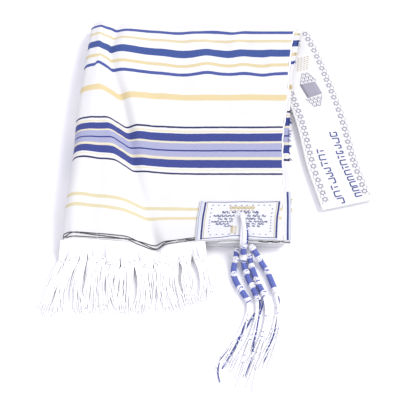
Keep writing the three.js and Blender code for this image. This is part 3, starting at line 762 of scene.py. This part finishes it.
# ---- Folded layers
# The rest of the shawl, folded under itself: one solid whose rounded folds show as lips down the front and
# right side of the stack, the lowest standing out at the floor.
CORE_DROP = 6.3
CORE_FRONT = 7
FLOOR_FOLD = 7.4
LIPS = 4
LIP_OUT = 1.7
LOWEST_LIP_OUT = 2.7
LIP_STEPS = 5
BAND_ROOM = 8.2  # the height left free where the neck band runs out from under the stack
BAND_WIDTH = 68
BAND_LINE = [(104, 213), (121, 166), (131, 131), (149, 60), (160, -8), (166, -33), (175.5, -71)]
band_middle, band_length = route(BAND_LINE)


def in_band(x, y, margin):
    """1 inside the band's strip of floor, 0 outside."""
    x, y = np.asarray(x, float), np.asarray(y, float)
    stations = np.linspace(0, band_length, 120)
    centres = band_middle(stations)
    gap = np.sqrt((x[..., None] - centres[:, 0]) ** 2 + (y[..., None] - centres[:, 1]) ** 2).min(axis=-1)
    return (gap < BAND_WIDTH / 2 + margin) * 1.0


def layered_solid(name, top, covered, floor_fold, lip_out, lowest_out, floor_at, lips=LIPS):
    """A stack under a grid of points: its sides are rounded folds, down to a flat underside."""
    rows, across = top.shape[:2]
    rim = [(0, i) for i in range(across)] + [(j, across - 1) for j in range(1, rows)]
    rim += [(rows - 1, i) for i in range(across - 2, -1, -1)] + [(j, 0) for j in range(rows - 2, 0, -1)]
    edge = np.array([top[j, i] for j, i in rim])
    ahead = np.roll(edge, -2, axis=0) - np.roll(edge, 2, axis=0)
    outward = unit(np.stack([ahead[:, 1], -ahead[:, 0], np.zeros(len(edge))], axis=-1))
    hidden = np.array([covered(j, i) for j, i in rim], dtype=float)
    for _ in range(6):
        hidden = (np.roll(hidden, 1) + hidden + np.roll(hidden, -1)) / 3
    floors = floor_at(edge[:, 0], edge[:, 1])
    distance = np.cumsum(np.linalg.norm(edge - np.roll(edge, 1, axis=0), axis=1))
    rings = []
    for lip in range(lips):
        uneven = 1 + 0.45 * np.sin(distance / (23 + 7 * lip) + 2.1 * lip) * np.sin(distance / 57 + lip)
        for step in range(LIP_STEPS):
            drop = (lip + step / LIP_STEPS) / lips
            out = lip_out * uneven * math.sin(math.pi * step / LIP_STEPS) ** 0.7 - 0.6 * (step == 0)
            ring = edge + outward * (out * (1 - hidden) - 0.5 * hidden)[:, None]
            ring[:, 2] = floor_fold + (edge[:, 2] - floor_fold) * (1 - drop)
            rings.append(ring)
    for step in range(7):
        angle = math.pi * step / 6
        out = lowest_out * math.sin(angle) ** 0.7 + 9.5 * hidden
        ring = edge + outward * out[:, None]
        ring[:, 2] = floor_fold * (0.5 + 0.5 * math.cos(angle))
        rings.append(ring)
    for ring in rings:
        ring[:, 2] = np.maximum(ring[:, 2], floors)
    rings[0] = edge
    points = list(top.reshape(-1, 3))
    number = np.arange(rows * across).reshape(rows, across)
    loops = [np.array([number[j, i] for j, i in rim])]
    for ring in rings[1:]:
        loops.append(len(points) + np.arange(len(ring)))
        points.extend(ring)
    faces = faces_over(number).tolist()
    for upper, lower in zip(loops, loops[1:]):
        faces += faces_between(np.append(lower, lower[0]), np.append(upper, upper[0])).tolist()
    below = np.zeros((rows, across), dtype=int)
    for k, (j, i) in enumerate(rim):
        below[j, i] = loops[-1][k]
    for j in range(1, rows - 1):
        for i in range(1, across - 1):
            below[j, i] = len(points)
            x, y, _ = top[j, i]
            points.append(np.array([x, y, float(floor_at(x, y))]))
    faces += faces_over(below, under=True).tolist()
    points = np.array(points)
    places = np.stack([points[:, 0] + 0.6 * points[:, 2], points[:, 1] + 0.6 * points[:, 2]], -1)
    return piece(name, points, faces, places, plain_cloth)


plain_cloth = woven_cloth("acrylic_plain_weave_white", "#dadada", "#d4d4d6", 1.6)
core_us = np.concatenate([np.linspace(5.15, 9, 40), np.linspace(9, 16, 60)[1:]])
hem_xs = front_surface(core_us, [0])[0, :, 0]
core_shares = np.linspace(0, 1, 70)
core_top = np.zeros((len(core_shares), len(core_us), 3))
for i, u in enumerate(core_us):
    front_edge = CORE_FRONT + 40 * math.exp(-(((hem_xs[i] + 63) / 34) ** 2))
    stations = front_edge + (LAST_LINE - 4 - front_edge) * core_shares
    core_top[:, i] = front_surface([u], stations)[:, 0]
core_top[..., 2] = np.maximum(core_top[..., 2] - CORE_DROP, FLOOR_FOLD + 1.6)
folded = layered_solid(
    "folded_layers_cloth", core_top, lambda j, i: (i == 0 and j > 0) or j == len(core_shares) - 1,
    FLOOR_FOLD, LIP_OUT, LOWEST_LIP_OUT, lambda x, y: BAND_ROOM * in_band(x, y, 1.5),
)
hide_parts("folded_layers")

# ---- Neck band and its fold
# A woven satin-faced ribbon sewn along the shawl's neck edge, over a strip of the shawl folded flat. It is
# figured on the loom: a row of six-point stars down each edge, a lattice panel, and two rows of broken fret.
BAND_CLOTH = 1.2
GAP = 0.3
NECK_FOLD_HEIGHT = 5.4
NECK_END = 0.985


def band_surface(across, along, lift=0.0):
    """A point of the band, by its distance across from the middle and along from the shawl."""
    across, along = np.asarray(across, float), np.asarray(along, float)
    centre = band_middle(along)
    ahead = unit(band_middle(along + 0.5) - band_middle(along - 0.5))
    wave = 0.35 * np.sin(along / 21.0) * np.sin(across / 26.0 + along / 60.0) + 0.35
    curl = 0.5 * (np.abs(across) / (BAND_WIDTH / 2)) ** 6 * np.sin(along / 13.0)
    x = centre[..., 0] - across * ahead[..., 1]
    y = centre[..., 1] + across * ahead[..., 0]
    z = NECK_FOLD_HEIGHT + GAP + BAND_CLOTH + lift + wave + curl * (across > 0)
    return np.stack([x, y, z], axis=-1)


neck_across = np.linspace(-1, 1, 25) * (BAND_WIDTH / 2 - 3.6)
neck_along = np.linspace(0.02, NECK_END - 0.006, 120) * band_length
neck_top = band_surface(*np.meshgrid(neck_across, neck_along[::-1]))
neck_top[..., 2] = NECK_FOLD_HEIGHT
neck = layered_solid(
    "neck_fold_cloth", neck_top, lambda j, i: False, 2.7, 1.2, 1.5, lambda x, y: 0.0 * x, lips=1
)
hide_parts("neck_fold")

band_ribbon = woven_cloth("satin_woven_ribbon", "#dfdfde", "#d8d8db", 1.3, sheen=0.2)
band_across = np.linspace(-BAND_WIDTH / 2, BAND_WIDTH / 2, 45)
band_along = np.linspace(band_length - 0.5, 0.5, 220)
band_places = np.stack(np.meshgrid(band_across, band_along), axis=-1)
band = cloth_shell(
    "neck_band_ribbon", band_surface(band_places[..., 0], band_places[..., 1]), band_places, BAND_CLOTH,
    band_ribbon,
)
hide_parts("neck_band")

BORDER_OFFSET = 25.8
STAR_SPACING = 10.2
STAR_RADIUS = 4.3
STROKE_STEP = 4.0
FRET_END = 291
FRET_HEIGHT = 8.0
grey_figure = spun_yarn("grey_figuring_thread", "#84829a", "#6d6b86", twist=1.2)
blue_figure = spun_yarn("blue_figuring_thread", "#4457a6", "#33458e", twist=1.2)
gold_figure = spun_yarn("gold_figuring_thread", "#d2c59b", "#c4b584", twist=1.2)
pale_gold_figure = spun_yarn("pale_gold_figuring_thread", "#d9d1b8", "#d0c7a8", twist=1.2)


def strokes_on(surface, strokes, lift):
    """Runs of thread on a cloth: each stroke is a list of places on it, and bends with it."""
    runs = []
    for stroke in strokes:
        stroke = np.asarray(stroke, float)
        for a, b in zip(stroke, stroke[1:]):
            count = max(2, int(np.linalg.norm(b - a) / STROKE_STEP) + 1)
            at = a + (b - a) * np.linspace(0, 1, count)[:, None]
            runs.append(surface(at[:, 0], at[:, 1], lift))
    return runs


def figure(name, surface, strokes, radius, material, lift=0.12, flat=0.4):
    """A figure of flat threads lying on a cloth."""
    return yarn(name, strokes_on(surface, strokes, lift), radius, material, sides=4, flat=flat)


def star(across, along, radius, turn=0.0):
    """The two triangles of a six-point star."""
    angles = turn + np.array([0, 1, 2, 0]) * 2 * math.pi / 3
    return [
        [(across + radius * math.cos(a + half), along + radius * math.sin(a + half)) for a in angles]
        for half in (0, math.pi)
    ]


border_strokes = []
for side in (-1, 1):
    for n in range(int((band_length - 12) / STAR_SPACING)):
        centre = 13 + n * STAR_SPACING
        border_strokes += star(side * BORDER_OFFSET, centre, STAR_RADIUS, math.pi / 2)
        rail = side * (BORDER_OFFSET + 4.6)
        border_strokes.append([(rail, centre + 3.4), (rail, centre + 6.8)])
stars = figure("neck_band_stars", band_surface, border_strokes, 0.27, grey_figure, flat=0.5)

# Broken fret: hooks of one height set at uneven spacing, with a bar here and there
def fret_row(start, offset_from, offset_to, seed):
    order = random.Random(seed)
    strokes = []
    at = start
    while at < FRET_END - 6:
        width = order.choice((5.0, 6.5, 7.5))
        middle = offset_from + (offset_to - offset_from) * (at - start) / (FRET_END - start)
        low, high = middle - FRET_HEIGHT / 2, middle + FRET_HEIGHT / 2
        kind = order.randrange(4)
        if kind == 0:
            strokes.append([(low, at), (high, at), (high, at + width), (middle, at + width)])
        elif kind == 1:
            strokes.append([(high, at), (low, at), (low, at + width), (high, at + width)])
        elif kind == 2:
            inner = at + 1.5
            strokes.append([(low, at), (low, at + width), (high, at + width), (high, inner), (middle, inner)])
        else:
            strokes.append([(middle - 1, at + width / 2), (high, at + width / 2)])
            strokes.append([(low, at), (low, at + width)])
        at += width + order.uniform(2.2, 4.0)
    return strokes


fret_strokes = fret_row(178, 9.9, 17.7, seed=5) + fret_row(203, -11.7, -6.8, seed=11)
frets = figure("neck_band_frets", band_surface, fret_strokes, 0.85, blue_figure, flat=0.3)

# Lattice panel: a close-woven lozenge with ruled edges, and an open trellis above and below it
PANEL = [(-10.8, 93.8), (9.9, 94.3), (12.5, 114.6), (-7.6, 116.8)]
panel_strokes = []
for share in np.linspace(0, 1, 15):
    left = np.array(PANEL[0]) + (np.array(PANEL[3]) - np.array(PANEL[0])) * share
    right = np.array(PANEL[1]) + (np.array(PANEL[2]) - np.array(PANEL[1])) * share
    panel_strokes.append([left, right])
panel_thread = spun_yarn("silver_figuring_thread", "#b2afba", "#a19eae", twist=1.2)
panel = figure("neck_band_panel", band_surface, panel_strokes, 0.95, panel_thread, flat=0.3)
trellis = [PANEL + PANEL[:1]]
for first, sign in ((92.5, -1), (118, 1)):
    for row, count in enumerate((4, 3, 2)):
        for n in range(count):
            middle = (n - (count - 1) / 2) * 5.4 + (0.5 if sign > 0 else 1.0)
            base = first + sign * row * 5.6
            turn = np.linspace(0, math.pi, 9)
            trellis.append([(middle + 2.7 * math.cos(t), base + sign * 5.0 * math.sin(t)) for t in turn])
            trellis.append([(middle, base + sign * 1.2), (middle, base + sign * 3.0)])
trellis_work = figure("neck_band_trellis", band_surface, trellis, 0.4, grey_figure, flat=0.5)
gold_strokes = []
for b in np.arange(50, 72, 3.2):
    for a in np.arange(-4, 12, 4.4):
        gold_strokes.append([(a + 0.4 * (60 - b), b), (a + 2.4 + 0.4 * (60 - b), b + 1.6)])
band_gold = figure(
    "neck_band_gold", band_surface, gold_strokes, 0.8, pale_gold_figure, lift=0.05, flat=0.2
)

# ---- Corner patches
# A figured cotton square sewn on each corner of the shawl: navy side bars, ruled frame, dotted inner border
# and rows of small frets in place of a printed text. The tassel's cord comes up through a worked eyelet.
PATCH_CLOTH = 1.0
PATCH_WIDTH = 100
PATCH_HEIGHT = 71
PATCH_HEM = 0.2
PATCH_SKEW = 5.5
patch_us = np.linspace(8.6, 16, 160)


def patch_surface(a, b, lift=0.0):
    """Points of the front patch: a from its left edge, b from its lower edge, one b for each row."""
    a, b = np.broadcast_arrays(np.asarray(a, float), np.asarray(b, float))
    made = np.zeros((*a.shape, 3))
    for row, across, up in zip(made.reshape(len(a), -1, 3), a.reshape(len(a), -1), b.reshape(len(a), -1)):
        v = PATCH_HEM + up[0]
        left = float(line_at["right"](v)) - 1.5 - PATCH_WIDTH - PATCH_SKEW * (1 - up[0] / PATCH_HEIGHT)
        line = front_surface(patch_us, [v])[0]
        for axis in range(3):
            row[:, axis] = np.interp(left + across, line[:, 0], line[:, axis])
    made[..., 2] += 2 * GAP + PATCH_CLOTH + lift
    return made


patch_cloth = woven_cloth("figured_patch_cotton", "#dadbdf", "#d2d3da", 1.3, fleck="#b9bdd2")
patch_a = np.linspace(0, PATCH_WIDTH, 80)
patch_b = np.linspace(0, PATCH_HEIGHT, 54)
patch_places = np.stack(np.meshgrid(patch_a, patch_b), axis=-1)
patch = cloth_shell(
    "corner_patch_front_cloth", patch_surface(patch_places[..., 0], patch_places[..., 1]), patch_places,
    PATCH_CLOTH, patch_cloth,
)
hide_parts("corner_patch_front")

second_patch_shares = np.linspace(0.06, 0.985, 60)
second_patch_ys = np.linspace(-132, -57, 50)
second_patch_grid = second_surface(second_patch_shares, second_patch_ys) + np.array([0, 0, GAP + PATCH_CLOTH])
second_patch = cloth_shell(
    "corner_patch_second_cloth",
    second_patch_grid,
    np.stack(np.meshgrid(second_patch_shares * 90, second_patch_ys + 200), axis=-1),
    PATCH_CLOTH,
    patch_cloth,
)
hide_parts("corner_patch_second")

navy_thread = spun_yarn("navy_bar_thread", "#36428a", "#2b3672", twist=1.2)
pale_thread = spun_yarn("pale_gold_bar_thread", "#d3cbb0", "#c8be9c", twist=1.2)
sky_thread = spun_yarn("pale_blue_margin_thread", "#ced3e2", "#c6cce0", twist=1.2)
rule_thread = spun_yarn("slate_rule_thread", "#5f6690", "#474e78", twist=1.2)


def second_line(share, lift):
    ys = np.linspace(-131, -58, 24)
    return second_surface([share], ys)[:, 0] + np.array([0, 0, GAP + PATCH_CLOTH + lift])


bars = strokes_on(patch_surface, [[(7, 1), (7, 69)], [(98, 2), (98, 70)]], 0.1) + [second_line(0.95, 0.1)]
patch_bars = yarn("patch_bars", bars, 1.15, navy_thread, sides=4, flat=0.25)
pale = strokes_on(patch_surface, [[(9.7, 2), (9.7, 68)], [(95.4, 2), (95.4, 68)]], 0.08)
patch_pale = yarn("patch_pale_bars", pale, 0.5, pale_thread, sides=4, flat=0.25)
sky = strokes_on(patch_surface, [[(3, 1), (3, 70)]], 0.05) + [second_line(0.975, 0.08)]
patch_margins = yarn("patch_margins", sky, 1.6, sky_thread, sides=4, flat=0.12)
frame_strokes = [[(8.5, 69), (30, 68.6), (52, 69.4), (75, 68.8), (96.5, 69.6)]]
frame_strokes += [[(7.5, 2.4), (30, 3.2), (44, 5.5), (56, 5.2), (75, 3), (97, 2.6)]]
frame_strokes += [[(a, 63.5), (a + 1.8, 64.3)] for a in np.arange(16, 92, 7.0)]
frame_strokes += [[(a, 9), (a + 1.8, 8.5)] for a in np.arange(17, 92, 7.5)]
frame_strokes += [[(a, b), (a + 1.2, b + 1.6)] for a in (15, 90) for b in np.arange(14, 62, 6.2)]
patch_frame = figure(
    "patch_frame", patch_surface, frame_strokes, 0.5, rule_thread, lift=0.1, flat=0.5
)


# Rows of small frets: height on the patch, and where each starts and ends
FRET_ROWS = [(53, 30, 74), (47.5, 20, 80), (42, 26, 76), (36, 18, 84), (30.5, 24, 82), (25, 34, 78)]


def small_frets(seed):
    order = random.Random(seed)
    strokes = []
    for b, start, end in FRET_ROWS:
        a = start
        while a < end:
            wide = order.uniform(2.2, 4.6)
            high = order.uniform(1.0, 1.8)
            turn = a + wide * 0.5
            strokes.append([(a, b - high), (a, b + high), (turn, b + high), (turn, b - high)])
            strokes.append([(turn, b - high), (a + wide, b - high), (a + wide, b + high * 0.4)])
            a += wide + order.choice((0.9, 1.2, 3.4))
    return [stroke for stroke in strokes if not (42 < stroke[0][0] < 58 and stroke[0][1] < 46)]


patch_frets = figure(
    "patch_frets", patch_surface, small_frets(3), 0.5, rule_thread, lift=0.08, flat=0.4
)
gold_work = []
for a in np.arange(40, 68, 4.4):
    gold_work += star(a, 60, 2.4, 0.4 * a)
    gold_work.append([(a - 1.6, 55.5), (a + 1.6, 56)])
for b in np.arange(10, 26, 3.2):
    gold_work.append([(42 + 0.6 * math.sin(b), b), (46, b + 1.8), (42.5, b + 3)])
    gold_work.append([(47, b), (49.5, b + 2.2)])
patch_gold = figure(
    "patch_gold_work", patch_surface, gold_work, 0.55, gold_figure, lift=0.08, flat=0.4
)

# The worked eyelet: close buttonhole stitches round a slit that the second tassel's cord comes through
EYELET = (49.5, 49.0)
stitches = []
for n in range(30):
    angle = 2 * math.pi * n / 30
    inner = (EYELET[0] + 2.6 * math.cos(angle), EYELET[1] + 3.4 * math.sin(angle))
    outer = (EYELET[0] + 4.4 * math.cos(angle), EYELET[1] + 5.2 * math.sin(angle))
    stitches.append([inner, outer])
eyelet = figure(
    "patch_eyelet", patch_surface, stitches, 0.42, tassel_white, lift=0.2, flat=0.8
)

# ---- Hem fringe
# Warp ends left at the hem, plied into white yarns, tied in one row of overhand knots and let fall: they hang
# from the hem to the table and lie out over it in loose locks.
# Each row: a place along the hem, where the knot below it lies, and where its yarns end
FRINGE = [
    (-173, -177, -147, -203, -221),
    (-160, -163, -149, -181, -222),
    (-145, -146, -150, -152, -226),
    (-130, -130, -152, -134, -218),
    (-115, -115, -154, -116, -219),
    (-101, -100, -155, -98, -223),
    (-87, -86, -155, -82, -222),
    (-74, -72, -155, -68, -207),
    (-62, -60, -154, -56, -221),
    (-48, -47, -152, -41, -218),
    (-33, -32, -150, -24, -211),
    (-19, -17, -150, -6, -205),
    (-9, -5, -152, 4, -192),
]
KNOT_HEIGHT = 5.4
LOCKS = 22
FIRST_LOCK_X = -172.5
LOCKS_REACH = 163.5
LOCK_HALF_WIDTH = 5.6
YARNS_PER_LOCK = 15
YARN_RADIUS = 0.8
fringe_at = [columns(FRINGE, 0, i) for i in range(1, 5)]
hem_line = front_surface(np.linspace(3, 16, 300), [0])[0]
strands, knots = [], []
tie = random.Random(7)
for lock in range(LOCKS):
    hem_x = FIRST_LOCK_X + LOCKS_REACH * lock / (LOCKS - 1)
    knot_x, knot_y, end_x, end_y = (float(curve(hem_x)) for curve in fringe_at)
    knot_x += tie.uniform(-1.5, 1.5)
    knot_y += tie.uniform(-6, 4)
    end_x += tie.uniform(-5, 5)
    end_y += tie.uniform(-5, 4)
    bow = tie.uniform(-6, 6)
    knot = np.array([knot_x, knot_y, KNOT_HEIGHT])
    for n in range(YARNS_PER_LOCK):
        side = (n + 0.5) / YARNS_PER_LOCK * 2 - 1
        start_x = hem_x + side * LOCK_HALF_WIDTH
        start = np.array(
            [start_x, np.interp(start_x, hem_line[:, 0], hem_line[:, 1]) - 0.2,
             np.interp(start_x, hem_line[:, 0], hem_line[:, 2]) - 0.9]
        )
        fall = np.linspace(0, 1, 6)[:-1, None]
        tight = knot + np.array([side * 3.7, 0.8, tie.uniform(-1.6, 0.9)])
        upper = start + (tight - start) * fall
        upper[:, 2] = tight[2] + (start[2] - tight[2]) * (1 - fall[:, 0]) ** 1.3
        lower_t = np.linspace(0, 1, 12)
        spread = side * (3.7 + 3.2 * lower_t**0.8) + tie.uniform(-2.6, 2.6) * lower_t
        reach = tie.uniform(0.82, 1.03)
        lower = np.stack(
            [
                knot_x + (end_x - knot_x) * lower_t * reach + bow * np.sin(math.pi * lower_t)
                + spread + tie.uniform(-1.2, 1.2) * np.sin(lower_t * tie.uniform(5, 9) + n),
                knot_y + (end_y - knot_y) * lower_t * reach + tie.uniform(-0.5, 0.5),
                YARN_RADIUS + (KNOT_HEIGHT - YARN_RADIUS) * (1 - lower_t) ** 1.3
                + tie.uniform(0, 2.6) * np.sin(math.pi * lower_t) ** 0.7,
            ],
            axis=-1,
        )
        strands.append(np.vstack([upper, lower]))
    knot_line, _ = route([knot + np.array([0, 8, 3]), knot, knot + np.array([0, -8, -1])])
    for turn in range(3):
        knots.append(
            knot_turns(
                knot_line, 8.5 + (turn - 1) * 1.5, 2.5 + tie.uniform(0, 0.5), tie.uniform(-1.5, 1.5),
                tie.uniform(0, 6),
            )
        )

fringe_yarn = spun_yarn("acrylic_fringe_yarn", "#ffffff", "#f3f3f7", twist=1.6)
fringe = yarn("hem_fringe_yarns", strands, YARN_RADIUS, fringe_yarn, sides=5, taper=0.2)
fringe_knots = yarn("hem_fringe_knots", knots, 1.0, fringe_yarn)
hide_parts("hem_fringe")

# Hem lines: three dark two-ply cords laid along each hem, crossing now and then


def hem_cords(surface_at, start, end, turns, seed):
    """Three cords that cross each other slowly, at evenly spaced places along a hem."""
    order = random.Random(seed)
    runs = []
    for n in range(3):
        at = np.linspace(start, end, 90)
        wander = order.uniform(-0.3, 0.3)
        v = 3.7 + 2.9 * np.sin(n * 2.1 + wander + at * turns)
        runs.append(surface_at(at, v))
    return runs


def on_front_hem(us, vs):
    points = np.array([front_surface([u], [v])[0, 0] for u, v in zip(us, vs)])
    return points + np.array([0, 0, 0.35])


def on_second_hem(xs, vs):
    ys = SECOND_HEM + vs * 0.9
    shares = (xs - SECOND_LEFT) / (second_right(ys) - SECOND_LEFT)
    return np.array([second_surface([s], [y])[0, 0] for s, y in zip(shares, ys)]) + np.array([0, 0, 0.35])


dark_cord = spun_yarn("charcoal_and_white_hem_cord", "#6f6f76", "#26262b", 1.8, second="#d0d0d6", share=0.68)
hem_runs = hem_cords(on_front_hem, 2.2, 12.6, 0.95, seed=2)
hem_runs += hem_cords(on_second_hem, 62, 100, 0.16, seed=4)
hem = yarn("hem_cords", hem_runs, 0.62, dark_cord, sides=5)
